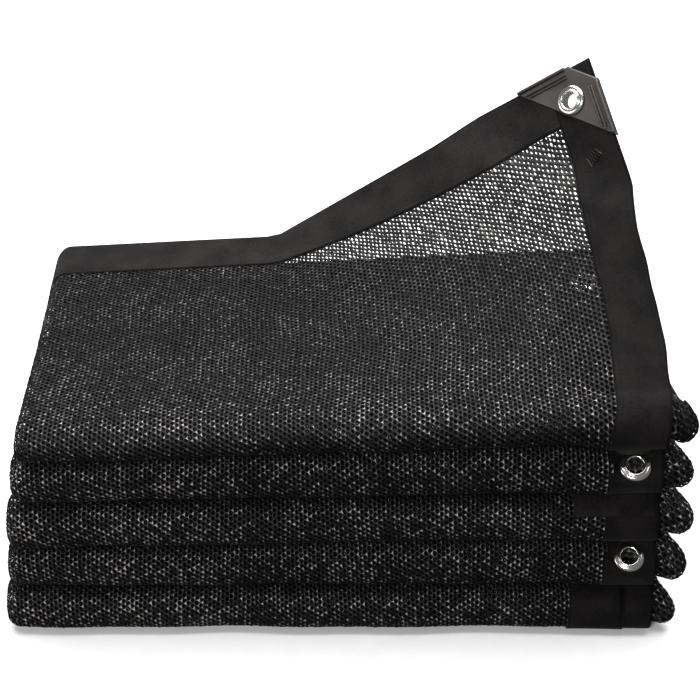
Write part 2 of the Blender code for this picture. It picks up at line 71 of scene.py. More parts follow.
# Each light's name, place, aim, size and power, in metres and watts
SOFTBOXES = (
    ("softbox_above", (0.0, 0.7, 2.6), (0.0, 0.4, 0.0), (3.0, 3.0), 175.0),
    ("softbox_front", (-0.4, -1.7, 1.5), (0.0, 0.0, 0.1), (0.5, 0.35), 22.0),
    ("softbox_left", (-2.2, -0.6, 0.6), (0.0, 0.0, 0.2), (1.6, 0.9), 12.0),
)
ROOM_LIGHT = 0.16

# The stack from front to back
FOLD_START_Y = 24.0
BACK_FOLD_Y = 184.0
BACK_FOLD_REACH = 2.0
UNDER_END_Y = 205.0
BOTTOM_END_Y = 200.0
NOSE_DROP = -0.2
FRONT_FULLNESS = 0.8
BULGE_SWELL = 10.0
BULGE_PINCH = 14.0

# One row for each front roll, from the top: its upper crease, how much that crease rises
# over RISE_RUN to the right and sags under the tape, its left end, its taped edge, its right
# bulge and its nose
RISE_RUN = 200.0
ROLL_COLUMNS = ("top", "rise", "sag", "left", "hem", "bulge", "nose")
ROLLS = (
    (202.7, 12.0, 0.0, -229.0, 222.0, 240.0, 0.0),
    (169.7, 8.0, 6.3, -236.0, 215.5, 242.0, 2.0),
    (126.6, 4.0, 0.0, -243.0, 217.0, 247.0, 0.5),
    (84.5, 5.0, 3.5, -247.0, 219.5, 247.0, 2.5),
    (41.7, 1.0, 2.0, -252.0, 220.5, 243.0, 0.0),
)
SAG_X = (145.0, 176.0)
FRONT_WAVES = ((0.8, 31.0, 1.9), (0.6, 14.0, 2.7))
BACK_WIDTH = {"left": -221.0, "bulge": 214.0}
LEAF_BACK_LEFT = -227.5
TAPER_RUN = 78.0

# The leaf: its back edge, where it starts to rise, its lifted corner and its middle
LEAF_BACK_Y = 237.0
LEAF_BEND_X = -57.0
LEAF_CORNER = (171.3, 223.5, 359.6)
LEAF_BELLY = (
    (90.0, 2.4, 163.6, 28.8),
    (222.0, -33.6, 179.5, 108.4),
)
CORNER_INWARD = (-53.0, 16.2, -43.6)
CORNER_FORWARD = (20.1, -51.8, -43.6)
CORNER_FLAT = 92.0
CORNER_FADE = 42.0
LEAF_CURVE_STEPS = 33

# The folds across the strip, each with its half width in X
LEFT_FOLD = 9.0
INNER_FOLD = 4.0
INNER_FOLD_IN = 7.0
RIGHT_FOLD = 8.0
BULGE_RANK = 1.0
BULGE_RANK_BACK = 0.3

# Eyelets and the moulded corner
EYELET_FACET = (66, 6)
EYELET_ROLLS = (1, 3)
ROLL_EYELET_IN = 19.0
UNDER_EYELET_Y = 161.0
CORNER_EYELET = 23.0
LEAN_BACK = 0.95
EYELET_BORE = 5.8
EYELET_RIM = 11.0
BARREL_HOLE = 6.4
HOLE_CUT_DEPTH = 16.0
PROTECTOR_LEGS = (68.0, 66.0)
PROTECTOR_NOTCH = 0.28
PROTECTOR_EDGE = 2.3
PROTECTOR_WALL = 1.7
PROTECTOR_CLEAR = 0.4
RIM_WIDTH = 4.2
RIM_STEP = 0.9
RIM_DROP = 0.8
COVER_ROUNDING = 1.1
RIDGES = ((-0.6, 1.3), (4.0, 0.7), (6.4, 0.55))
RIDGE_FROM = 20.0
RIDGE_SHORT = 7.5
RIDGE_MITRE = 1.1

# The knit: spacing of its wales and courses, and its yarn
WALE = 3.1
COURSE = 3.5
HOLE = 0.43
HOLE_SPREAD = 0.26
HOLE_MOST = 0.74
HOLE_NARROW = 0.55
HOLE_SLANT = 0.4
YARN_SHIFT = 0.15
YARN_UP = 0.62
YARN_DOWN = -0.45

# Painted glints: how bright the painted highlights on the best stitches are, brightest where the rolls face
# the light and dimmed towards the creases as painted shade: on the leaf, from its flat over the top roll's
# nose in millimetres past its foot, and on the other rolls by share of their height
LEAF_PAINTED_SHINE = ((-130.0, -40.0, 12.0, 30.0, 50.0), (0.86, 0.9, 1.06, 0.94, 0.4))
ROLL_PAINTED_SHINE = ((0.0, 0.2, 0.34, 0.54, 0.72, 1.0), (0.25, 0.45, 1.18, 1.14, 0.45, 0.25))
TAPE_THICKNESS = 2.0
PLY_THICKNESS = 0.9
STITCHES_OUT = 14.2

# How far the side tape has slipped inwards, at the top and the foot of the top roll
TAPE_SLIP = (4.5, 12.0)
SLIP_RUN = 0.2
TAPE_STEP = 4.0

# The tape is pressed flat round the eyelets on the rolls, fading out past their rims
PRESSED = 11.2
PRESSED_FADE = 8.0
PRESSED_REACH = 20.0
PRESSED_DEPTH = 14.0

# Tape that is turned in on the third and fifth rolls: roll, edges in X, angles and finish
TURNED_TAPE = 0.9
TURNED_ENDS = (
    ("turned_tape_3", 2, (157.0, 213.0), (84.0, 30.0), "end_tape"),
    ("turned_tape_5", 4, (160.0, 200.7), (84.0, -84.0), "side_tape"),
)

# The bar-tack by the corner, as distances inwards and forwards from the corner
TACK_FROM = (26.0, 71.0)
TACK_TO = (15.5, 66.0)
TACK_HALF = 3.6
TACK_TURNS = 5
TACK_THREAD = 0.4
TACK_LIFT = 0.6


def smooth(share):
    share = min(max(share, 0.0), 1.0)
    return share * share * (3.0 - 2.0 * share)


def roll_value(position, column):
    index = ROLL_COLUMNS.index(column)
    low = min(int(position), len(ROLLS) - 1)
    high = min(low + 1, len(ROLLS) - 1)
    share = position - low
    return ROLLS[low][index] * (1.0 - share) + ROLLS[high][index] * share


def crease(number, x):
    if number == len(ROLLS):
        return 0.0
    top, rise, sag = ROLLS[number][:3]
    under_tape = smooth((x - SAG_X[0]) / (SAG_X[1] - SAG_X[0]))
    return top + rise * x / RISE_RUN - sag * under_tape


def roll_span(number, x):
    upper, lower = crease(number, x), crease(number + 1, x)
    return (upper + lower) / 2.0, upper - lower


def ply_radius(rank, offset, height):
    outer = height / 2.0 - ROLL_GAP / 2.0 - MESH_THICKNESS / 2.0
    inner = CORE_GAP / 2.0
    share = (rank - INNER_RANK) / (OUTER_RANK - INNER_RANK)
    return inner + (outer - inner) * share + offset


def front_profile(angle):
    turn = math.radians(angle)
    if angle >= 0:
        return math.cos(turn), NOSE_DROP + (1.0 - NOSE_DROP) * math.sin(turn)
    down = math.sin(-turn) ** FRONT_FULLNESS
    return math.cos(turn) ** FRONT_FULLNESS, NOSE_DROP - (1.0 + NOSE_DROP) * down


def front_point(number, angle, x, rank, offset):
    out, up = front_profile(angle)
    middle, height = roll_span(number, x)
    radius = ply_radius(rank, offset, height)
    nose = ROLLS[number][ROLL_COLUMNS.index("nose")]
    reach = FOLD_START_Y - nose - (height - ROLL_GAP) / 2.0
    uneven = sum(high * math.sin(x / run + turn * number) for high, run, turn in FRONT_WAVES)
    return np.array((x, FOLD_START_Y - (radius + reach + uneven) * out, middle + radius * up))


def back_point(number, angle, x, rank, offset):
    level = crease(number + 1, x)
    upper = roll_span(number, x)[1]
    lower = roll_span(number + 1, x)[1]
    above = upper / 2.0 - ply_radius(rank, offset, upper)
    below = lower / 2.0 - ply_radius(rank, offset, lower)
    turn = math.radians(angle)
    half = above if angle >= 0 else below
    out = ((above + below) / 2.0 + BACK_FOLD_REACH) * math.cos(turn)
    return np.array((x, BACK_FOLD_Y + out, level + half * math.sin(turn)))


def flat_point(layer, share, x, rank, offset):
    middle, height = roll_span(layer // 2, x)
    radius = ply_radius(rank, offset, height)
    end = BOTTOM_END_Y if layer == 2 * len(ROLLS) - 1 else BACK_FOLD_Y
    y = FOLD_START_Y + share * (end - FOLD_START_Y)
    return np.array((x, y, middle + radius * (1 if layer % 2 == 0 else -1)))


def leaf_level(x):
    middle, height = roll_span(0, x)
    return middle + ply_radius(OUTER_RANK, 0.0, height)


def leaf_ends(x):
    front = np.array((x, FOLD_START_Y, leaf_level(x)))
    if x <= LEAF_BEND_X:
        back = np.array((x, LEAF_BACK_Y, leaf_level(x)))
        return front, (front + back) / 2.0, back
    edge = ROLLS[0][ROLL_COLUMNS.index("hem")]
    share = (x - LEAF_BEND_X) / (edge - LEAF_BEND_X)
    bend = np.array((LEAF_BEND_X, LEAF_BACK_Y, leaf_level(LEAF_BEND_X)))
    back = bend + share * (np.array(LEAF_CORNER) - bend)
    flat = np.array((LEAF_BEND_X, (FOLD_START_Y + LEAF_BACK_Y) / 2.0, bend[2]))
    bellies = []
    for across, drawn_in, y, lift in LEAF_BELLY:
        bellies.append(np.array((across + drawn_in, y, leaf_level(across) + lift)))
    near = (LEAF_BELLY[0][0] - LEAF_BEND_X) / (edge - LEAF_BEND_X)
    weights = (
        (share - near) * (share - 1.0) / near,
        share * (share - 1.0) / (near * (near - 1.0)),
        share * (share - near) / (1.0 - near),
    )
    belly = weights[0] * flat + weights[1] * bellies[0] + weights[2] * bellies[1]
    return front, belly, back


def curved_leaf(x, along):
    front, belly, back = leaf_ends(x)
    steps = np.linspace(0.0, 1.0, LEAF_CURVE_STEPS)[:, None]
    line = (1 - steps) ** 2 * front + 2 * steps * (1 - steps) * belly + steps ** 2 * back
    run = np.concatenate(([0.0], np.cumsum(np.linalg.norm(np.diff(line, axis=0), axis=1))))
    wanted = along * run[-1]
    if wanted > run[-1]:
        tangent = (line[-1] - line[-2]) / (run[-1] - run[-2])
        return line[-1] + tangent * (wanted - run[-1]), run[-1]
    return np.array([np.interp(wanted, run, line[:, axis]) for axis in range(3)]), run[-1]


def corner_plane():
    """The lifted corner, its two edge directions and the way up of its flat."""
    inward = np.array(CORNER_INWARD) / np.linalg.norm(CORNER_INWARD)
    forward = np.array(CORNER_FORWARD)
    forward = forward - inward * inward.dot(forward)
    forward /= np.linalg.norm(forward)
    return np.array(LEAF_CORNER), inward, forward, np.cross(inward, forward)


PLANE = corner_plane()
HEM_X = ROLLS[0][ROLL_COLUMNS.index("hem")]


def leaf_middle(x, along):
    point, length = curved_leaf(x, along)
    from_side = HEM_X - x
    from_end = (1.0 - along) * length
    hold = 1.0 - smooth((from_side + from_end - CORNER_FLAT) / CORNER_FADE)
    if hold <= 0.0:
        return point
    corner, inward, forward = PLANE[:3]
    flat = corner + inward * from_side + forward * from_end
    return point * (1.0 - hold) + flat * hold


def leaf_point(x, along, offset):
    point = leaf_middle(x, along)
    if offset == 0.0:
        return point
    across = leaf_middle(x + 0.5, along) - leaf_middle(x - 0.5, along)
    back = leaf_middle(x, along + 0.002) - leaf_middle(x, along - 0.002)
    up = np.cross(across, back)
    return point + up / np.linalg.norm(up) * offset


class Station:
    """One crossing of the strip: on the leaf, round a fold or on a flat layer."""

    def __init__(self, kind, number, value, place, in_tape=False):
        self.kind, self.number, self.value, self.place = kind, number, value, place
        self.in_tape = in_tape

    def depth(self):
        if self.kind == "front":
            return 0.0
        if self.kind == "back" or self.in_tape:
            return BACK_FOLD_Y - FOLD_START_Y
        return self.value * (BACK_FOLD_Y - FOLD_START_Y)

    def taper(self):
        return min(self.depth() / TAPER_RUN, 1.0)

    def width(self, column):
        front = roll_value(self.place, column)
        back = LEAF_BACK_LEFT if self.kind == "leaf" and column == "left" else BACK_WIDTH[column]
        width = front + (back - front) * self.taper()
        if column == "bulge":
            swell = front_profile(self.value)[0] if self.kind == "front" else 0.0
            width += BULGE_SWELL * swell - BULGE_PINCH * (1.0 - self.taper())
        return width

    def bulge_rank(self):
        return BULGE_RANK + (BULGE_RANK_BACK - BULGE_RANK) * min(2.0 * self.taper(), 1.0)


def place(station, x, rank, offset=0.0, on_leaf=0.0, along=None):
    """A point of the cloth, in millimetres of the solids' frame."""
    if station.kind == "front":
        return front_point(station.number, station.value, x, rank, offset)
    if station.kind == "back":
        return back_point(station.number, station.value, x, rank, offset)
    if station.kind == "flat":
        return flat_point(station.number, station.value, x, rank, offset)
    share = station.value if along is None else along
    if on_leaf == 1.0:
        return leaf_point(x, share, offset)
    middle, height = roll_span(0, x)
    end = UNDER_END_Y + (LEAF_BACK_Y - UNDER_END_Y) * on_leaf
    y = FOLD_START_Y + share * (end - FOLD_START_Y)
    return np.array((x, y, middle + ply_radius(rank, offset, height)))


def tape_share(x, rank, station):
    length = curved_leaf(x, 1.0)[1] if rank == OUTER_RANK else UNDER_END_Y - FOLD_START_Y
    seam = 1.0 - TAPE_WIDTH / length
    if station.in_tape:
        return seam + (1.0 - seam) * station.value
    return station.value * seam


def section_point(station, row):
    """A point of the section, where the leaf's left fold closes on the ply below it."""
    x, rank, on_leaf = row
    along = None
    if station.kind == "leaf":
        upper = tape_share(x, OUTER_RANK, station)
        under = tape_share(x, UNDER_RANK, station)
        along = under + (upper - under) * on_leaf
        if 0.0 < on_leaf < 1.0:
            y_upper = FOLD_START_Y + upper * (LEAF_BACK_Y - FOLD_START_Y)
            y_under = FOLD_START_Y + under * (UNDER_END_Y - FOLD_START_Y)
            y = y_under + (y_upper - y_under) * on_leaf
            end = UNDER_END_Y + (LEAF_BACK_Y - UNDER_END_Y) * on_leaf
            along = (y - FOLD_START_Y) / (end - FOLD_START_Y)
    return place(station, x, rank, 0.0, on_leaf, along)


def straight(start, end, rank_start, rank_end, count, on_leaf, skip=0):
    shares = [step / count for step in range(skip, count + 1)]
    return [(start + (end - start) * s, rank_start + (rank_end - rank_start) * s, on_leaf) for s in shares]


def turned(middle, half, low, high, start, end, count, leaf_from=0.0, inward=False):
    """Rows round a fold, where ranks low and high meet."""
    rows = []
    for step in range(1, count):
        turn = math.radians(start + (end - start) * step / count)
        rank = (low + high) / 2.0 + (high - low) / 2.0 * math.sin(turn)
        on_leaf = min(leaf_from * (0.5 + 0.5 * math.sin(turn)), 0.999)
        side = -half if inward else half
        rows.append((middle + side * math.cos(turn), rank, on_leaf))
    return rows


def outer_rows(station, under_tape, tucked):
    """The outer ply, from under the side tape round the left fold."""
    left = station.width("left")
    start = roll_value(station.place, "hem") - TAPE_WIDTH + under_tape
    rows = straight(start, left + LEFT_FOLD, OUTER_RANK, OUTER_RANK, 34, 1.0)
    rows += turned(left + LEFT_FOLD, LEFT_FOLD, INNER_RANK, OUTER_RANK, 90, 270, 10, 1.0)
    rows += straight(left + LEFT_FOLD, left + LEFT_FOLD + tucked, INNER_RANK, INNER_RANK, 2, 0.0)
    return rows


def bulge_rows(station):
    """The fold that stands out past the taped edge."""
    hem = roll_value(station.place, "hem")
    bulge = station.width("bulge")
    plump = station.bulge_rank()
    rows = straight(hem - 6.0, bulge - RIGHT_FOLD, 0.35 * plump, plump, 4, 0.0)
    rows += turned(bulge - RIGHT_FOLD, RIGHT_FOLD, INNER_RANK, plump, 90, -90, 10)
    rows += straight(bulge - RIGHT_FOLD, bulge - RIGHT_FOLD - 16.0, INNER_RANK, INNER_RANK, 2, 0.0)
    return rows


def inner_rows(station):
    """The three plies inside, with the folds that join them."""
    left = station.width("left")
    hem = roll_value(station.place, "hem")
    bulge = station.width("bulge") - 1.6
    plump = station.bulge_rank() - 0.3
    rows = straight(left + LEFT_FOLD, bulge - RIGHT_FOLD, INNER_RANK, INNER_RANK, 22, 0.0)
    rows += turned(bulge - RIGHT_FOLD, RIGHT_FOLD, INNER_RANK, plump, -90, 90, 8)
    under_tape = min(hem + 3.0, bulge - RIGHT_FOLD - 4.0)
    rows += straight(bulge - RIGHT_FOLD, under_tape, plump, 0.4 * plump, 2, 0.0)
    rows += straight(under_tape, hem + UNDER_EDGE - 2.0, 0.4 * plump, -0.4, 3, 0.0, 1)
    inner = left + INNER_FOLD_IN + INNER_FOLD
    rows += straight(hem + UNDER_EDGE - 2.0, inner, -0.4, -UNDER_RANK, 20, 0.0, 1)
    rows += turned(inner, INNER_FOLD, -UNDER_RANK, UNDER_RANK, -90, 90, 5, inward=True)
    rows += straight(inner, hem + UNDER_EDGE - TAPE_WIDTH + 5.0, UNDER_RANK, UNDER_RANK, 22, 0.0)
    return rows


def front_stations(number, count, before, after):
    """Stations over one front roll, with flat runs behind its creases."""
    depth = BACK_FOLD_Y - FOLD_START_Y
    found = []
    if number and before:
        found += [Station("flat", 2 * number, run / depth, float(number)) for run in before]
    for step in range(count + 1):
        found.append(Station("front", number, 90.0 - 180.0 * step / count, float(number)))
    found += [Station("flat", 2 * number + 1, run / depth, float(number)) for run in after]
    return found


class Surface:
    """A smooth sheet through a grid of points, read in millimetres across and along it."""

    def __init__(self, rows):
        self.grid = np.array(rows)
        across = np.linalg.norm(np.diff(self.grid, axis=1), axis=2).mean(axis=0)
        along = np.linalg.norm(np.diff(self.grid, axis=0), axis=2).mean(axis=1)
        self.across = np.concatenate(([0.0], np.cumsum(across)))
        self.along = np.concatenate(([0.0], np.cumsum(along)))

    def at(self, a, b):
        rows, columns = self.grid.shape[:2]
        v = np.interp(b, self.along, np.arange(rows))
        u = np.interp(a, self.across, np.arange(columns))
        i = np.clip(v.astype(int), 0, rows - 2)
        j = np.clip(u.astype(int), 0, columns - 2)
        found = np.zeros(a.shape + (3,))
        for row, down in zip(range(-1, 3), spline(v - i)):
            for column, side in zip(range(-1, 3), spline(u - j)):
                picked = self.grid[np.clip(i + row, 0, rows - 1), np.clip(j + column, 0, columns - 1)]
                found += (down * side)[..., None] * picked
        return found

    def lifted(self, a, b, lift):
        """Points that stand lift off the surface."""
        a = np.clip(a, 0.1, self.across[-1] - 0.1)
        b = np.clip(b, 0.1, self.along[-1] - 0.1)
        point = self.at(a, b)
        side = self.at(a + 0.6, b) - self.at(a - 0.6, b)
        down = self.at(a, b + 0.6) - self.at(a, b - 0.6)
        up = np.cross(side, down)
        return point + up / np.linalg.norm(up, axis=-1, keepdims=True) * lift[..., None]


def spline(t):
    """The four weights of a curve that runs through its points."""
    return (
        ((2.0 - t) * t - 1.0) * t / 2.0,
        ((3.0 * t - 5.0) * t * t + 2.0) / 2.0,
        ((4.0 - 3.0 * t) * t + 1.0) * t / 2.0,
        (t - 1.0) * t * t / 2.0,
    )


def placed(name, data):
    """A new object in the scene."""
    made = bpy.data.objects.new(name, data)
    bpy.context.scene.collection.objects.link(made)
    return made


def dressed(piece, finish):
    """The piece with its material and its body."""
    piece.data.materials.append(FINISH[finish])
    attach(piece, "root")
    return piece


def mesh_object(name, points, faces, finish, uv=None):
    """A piece from points in millimetres of the solids' frame."""
    mesh = bpy.data.meshes.new(name)
    mesh.from_pydata(((np.asarray(points) + SHIFT) * MM).tolist(), [], faces)
    if uv is not None:
        layer = mesh.uv_layers.new(name="flat")
        index = np.empty(len(mesh.loops), dtype=np.int32)
        mesh.loops.foreach_get("vertex_index", index)
        layer.data.foreach_set("uv", (np.asarray(uv)[index] * MM).ravel())
    mesh.shade_smooth()
    return dressed(placed(name, mesh), finish)


def knit(surface, seed, start_along, keep, painted_shine):
    """Points, faces and flat places of a knitted net, one open stitch to each cell.

    A cell is a hexagon between six yarn crossings with a slanted hole in it, and keep
    chooses the cells by their places across and along the cloth. Each stitch gets a painted
    glint, a painted highlight in the yarn's colour at its raised crossings. The last argument
    gives its strength at places along the cloth, as painted light and painted shade."""
    draw = np.random.default_rng(seed)
    columns = int(surface.across[-1] / WALE)
    rows = int((surface.along[-1] - start_along) / COURSE)
    i, j = np.meshgrid(np.arange(columns), np.arange(rows), indexing="ij")
    a = (i + 0.5) * WALE
    b = start_along + (j + 0.5 + 0.5 * (i % 2)) * COURSE
    wander_a = 0.8 * np.sin(b / 23.0 + 0.7 * np.sin(a / 61.0)) + 0.5 * np.sin(b / 9.0 + a / 37.0)
    wander_b = 0.8 * np.sin(a / 29.0 + b / 71.0) + 0.5 * np.sin(a / 11.0 - b / 43.0)
    a, b = a + wander_a, b + wander_b

    def joint(side):
        shift = draw.normal(0.0, YARN_SHIFT, (2,) + a.shape)
        return a + side * WALE / 3.0 + shift[0], b + COURSE / 2.0 + shift[1]

    left, right = joint(-1.0), joint(1.0)
    ci, cj = i[1:-1, 1:-1].ravel(), j[1:-1, 1:-1].ravel()
    opening = HOLE * np.exp(draw.normal(0.0, HOLE_SPREAD, (len(ci), 1)))
    drift = draw.normal(0.0, YARN_SHIFT, (2, len(ci), 1))
    if keep is not None:
        chosen = keep(a[ci, cj], b[ci, cj])
        ci, cj, opening, drift = ci[chosen], cj[chosen], opening[chosen], drift[:, chosen]
    aside = np.where(ci % 2 == 0, cj - 1, cj)
    corners = (
        (right, ci, cj, 1), (left, ci, cj, 0), (right, ci - 1, aside, 1),
        (left, ci, cj - 1, 0), (right, ci, cj - 1, 1), (left, ci + 1, aside, 0),
    )
    corner_a = np.stack([which[0][x, y] for which, x, y, _ in corners], 1)
    corner_b = np.stack([which[1][x, y] for which, x, y, _ in corners], 1)
    grid = columns * rows
    index = np.stack([which * grid + x * rows + y for _, x, y, which in corners], 1)
    middle_a, middle_b = corner_a.mean(1, keepdims=True), corner_b.mean(1, keepdims=True)
    opening = np.minimum(opening, HOLE_MOST)
    off_a, off_b = corner_a - middle_a, corner_b - middle_b
    hole_a = middle_a + (HOLE_NARROW * off_a - HOLE_SLANT * off_b) * opening + drift[0]
    hole_b = middle_b + off_b * opening + drift[1]
    up = YARN_UP + draw.normal(0.0, 0.14, (2,) + a.shape)
    up[0] -= 0.22
    top_a = np.concatenate((left[0].ravel(), right[0].ravel()))
    top_b = np.concatenate((left[1].ravel(), right[1].ravel()))
    holes = 2 * grid + np.arange(index.size).reshape(index.shape)
    below = index + 2 * grid + index.size
    following = np.roll(np.arange(6), -1)
    top = np.stack((index, index[:, following], holes[:, following], holes), 2).reshape(-1, 4)
    bottom = np.stack((below[:, following], below, holes, holes[:, following]), 2).reshape(-1, 4)
    walk = index.astype(np.int64) * 2 * grid + index[:, following]
    back = index[:, following].astype(np.int64) * 2 * grid + index
    border = ~np.isin(walk, back)
    first, second = index[border], index[:, following][border]
    drop = 2 * grid + index.size
    rim = np.stack((second, first, first + drop, second + drop), 1)
    faces = np.concatenate((top, bottom, rim))
    all_a = np.concatenate((top_a, hole_a.ravel(), top_a))
    all_b = np.concatenate((top_b, hole_b.ravel(), top_b))
    lift = np.concatenate((up.ravel(), np.zeros(index.size), np.full(2 * grid, YARN_DOWN)))
    # Painted glints: brightness painted into the yarn's colour at the raised crossings, scaled by place
    # along the cloth
    painted_shine_here = np.interp(b.ravel(), *painted_shine)
    painted_glint = np.concatenate((
        draw.uniform(0.3, 1.0, grid) * painted_shine_here, draw.uniform(0.1, 0.5, grid) * painted_shine_here,
        np.zeros(index.size + 2 * grid)))
    used, faces = np.unique(faces, return_inverse=True)
    faces = faces.reshape(-1, 4)
    points = surface.lifted(all_a[used], all_b[used], lift[used])
    points[:, 2] = np.maximum(points[:, 2], -SHIFT[2])
    return points, faces.tolist(), np.stack((all_a, all_b), 1)[used], painted_glint[used]


def hexed(text):
    """A colour as the eye names it, turned to the linear values that shaders use."""
    values = [int(text[i:i + 2], 16) / 255.0 for i in (1, 3, 5)]
    return tuple(v / 12.92 if v <= 0.04045 else ((v + 0.055) / 1.055) ** 2.4 for v in values) + (1.0,)


def new_material(name, on_flat=True):
    """A material, its tree and shader, and the places that its patterns read."""
    material = bpy.data.materials.new(name)
    material.use_nodes = True
    tree = material.node_tree
    if on_flat:
        place_on = node(tree, "ShaderNodeUVMap", {"uv_map": "flat"}).outputs["UV"]
    else:
        place_on = node(tree, "ShaderNodeTexCoord").outputs["Object"]
    return material, tree, tree.nodes["Principled BSDF"], place_on


def fill(tree, made, **links):
    """A link is a socket to read from, and any other value is set on the node's own socket."""
    for key, value in links.items():
        socket = made.inputs[int(key[1:])] if key[0] == "_" else made.inputs[key.replace("_", " ")]
        if isinstance(value, bpy.types.NodeSocket):
            tree.links.new(value, socket)
        else:
            socket.default_value = value
    return made


def node(tree, kind, settings=None, **links):
    made = tree.nodes.new(kind)
    for key, value in (settings or {}).items():
        setattr(made, key, value)
    return fill(tree, made, **links)


def ramp(tree, factor, *stops):
    """Colours named in hex at their places along a factor."""
    made = node(tree, "ShaderNodeValToRGB", Fac=factor)
    elements = made.color_ramp.elements
    while len(elements) < len(stops):
        elements.new(0.5)
    for element, (position, colour) in zip(elements, stops):
        element.position = position
        element.color = hexed(colour)
    return made.outputs["Color"]


def yarn_material():
    """Black polyethylene yarn: drawn plastic tape, whose raised loops carry painted glints, painted
    highlights in its colour, and are smoother there.
    """
    material, tree, shader, place_on = new_material("knitted_yarn")
    painted_glint = node(tree, "ShaderNodeAttribute", {"attribute_name": "painted_glint"}).outputs["Fac"]
    patches = node(tree, "ShaderNodeTexNoise", Vector=place_on, Scale=30.0, Detail=4.0).outputs["Fac"]
    fibres = node(tree, "ShaderNodeTexNoise", Vector=place_on, Scale=900.0, Detail=2.0).outputs["Fac"]
    lit = painted_glint
    for pattern, most in ((patches, 0.1), (fibres, 0.12)):
        change = node(tree, "ShaderNodeMapRange", Value=pattern, From_Min=0.3, From_Max=0.7, To_Min=-most,
                      To_Max=most).outputs["Result"]
        lit = node(tree, "ShaderNodeMath", {"operation": "ADD"}, _0=lit, _1=change).outputs["Value"]
    # The ramp paints the glints into the base colour as painted highlights; patches and fibres add random
    # tone
    fill(tree, shader, Specular_IOR_Level=0.17,
         Base_Color=ramp(tree, lit, (0.12, "#080808"), (0.42, "#161515"), (0.65, "#474443"),
                         (0.95, "#b4b0ae")),
         Roughness=node(tree, "ShaderNodeMapRange", Value=lit, To_Min=0.6, To_Max=0.2).outputs["Result"],
         Normal=node(tree, "ShaderNodeBump", Height=fibres, Strength=0.5, Distance=0.0004).outputs["Normal"])
    return material


def ply_material():
    """The same knit where a ply is hidden by another: its stitches are drawn and raised, its holes are
    painted near black as painted shade, and its brightest stitches carry painted glints.
    """
    material, tree, shader, place_on = new_material("knitted_ply")
    scaled = node(tree, "ShaderNodeMapping", Vector=place_on,
                  Scale=(1000.0 / WALE, 1000.0 / COURSE, 1.0)).outputs["Vector"]
    cells = node(tree, "ShaderNodeTexVoronoi", {"voronoi_dimensions": "2D"}, Vector=scaled, Scale=1.0,
                 Randomness=0.45)
    # Painted shade in the holes and painted glints on the stitches, from the cells' distance and random
    # colour
    lit = node(tree, "ShaderNodeMath", {"operation": "MULTIPLY_ADD"}, _0=cells.outputs["Color"], _1=0.4,
               _2=cells.outputs["Distance"]).outputs["Value"]
    raised = node(tree, "ShaderNodeBump", Height=cells.outputs["Distance"], Strength=0.9, Distance=0.0012)
    fill(tree, shader, Roughness=0.42, Specular_IOR_Level=0.1, Normal=raised.outputs["Normal"],
         Base_Color=ramp(tree, lit, (0.25, "#030303"), (0.5, "#121111"), (0.75, "#2c2a2a"),
                         (0.97, "#9a9795")))
    return material


def tape_material(name, across, low, high):
    """Matt woven polyester tape: close ribs, finer picks, and a painted dark line of shade along the
    stitches by each edge.

    Its colour has painted shade where it rolls over at an edge, and across names the axis from edge to edge."""
    material, tree, shader, place_on = new_material(name)
    ribs, picks = (
        node(tree, "ShaderNodeTexWave", {"bands_direction": bands}, Vector=place_on, Scale=scale,
             Distortion=bend, Detail=1.0, Detail_Scale=4.0).outputs["Fac"]
        for bands, scale, bend in (("X", 310.0, 0.6), ("Y", 420.0, 0.8)))
    slubs = node(tree, "ShaderNodeTexNoise", Vector=place_on, Scale=520.0, Detail=3.0).outputs["Fac"]
    patches = node(tree, "ShaderNodeTexNoise", Vector=place_on, Scale=40.0, Detail=4.0).outputs["Fac"]

    def sums(operation, *values):
        return node(tree, "ShaderNodeMath", {"operation": operation}, **{
            "_%d" % number: value for number, value in enumerate(values)}).outputs["Value"]

    weave = sums("MULTIPLY", ribs, picks)
    cloudy = sums("MULTIPLY_ADD", slubs, 0.6, patches)
    shade = sums("MULTIPLY_ADD", weave, 0.35, cloudy)
    along = node(tree, "ShaderNodeSeparateXYZ", Vector=place_on).outputs[across]
    from_middle = sums("ABSOLUTE", sums("SUBTRACT", along, TAPE_WIDTH * MM / 2.0))
    painted_edge_shade_at = node(tree, "ShaderNodeMapRange", Value=from_middle, From_Min=STITCHES_OUT * MM,
                     From_Max=TAPE_WIDTH * MM / 2.0).outputs["Result"]
    # Painted shade: a dark line along the stitches and darkening towards each edge where the tape rolls over
    edge = ramp(tree, painted_edge_shade_at, (0.0, "#ffffff"), (0.05, "#8a8a8a"), (0.14, "#ffffff"), (0.62, "#ffffff"),
                (0.8, "#585858"))
    mixed = node(tree, "ShaderNodeMix", {"data_type": "RGBA", "blend_type": "MULTIPLY"}, _0=1.0,
                 _6=ramp(tree, shade, (0.7, low), (1.0, high)), _7=edge)
    woven = node(tree, "ShaderNodeBump", Height=weave, Strength=0.55, Distance=0.0003).outputs["Normal"]
    soft = node(tree, "ShaderNodeBump", Height=cloudy, Strength=0.35, Distance=0.0012, Normal=woven)
    fill(tree, shader, Base_Color=mixed.outputs[2], Roughness=0.75, Sheen_Weight=0.04, Sheen_Roughness=0.5,
         Specular_IOR_Level=0.1, Normal=soft.outputs["Normal"])
    return material


def thread_material():
    """Black polyester sewing thread with a slight gloss."""
    material, tree, shader, place_on = new_material("sewing_thread", False)
    twist = node(tree, "ShaderNodeTexNoise", Vector=place_on, Scale=1800.0, Detail=2.0).outputs["Fac"]
    fill(tree, shader, Base_Color=ramp(tree, twist, (0.3, "#2a2727"), (0.7, "#4c4846")), Roughness=0.45)
    return material


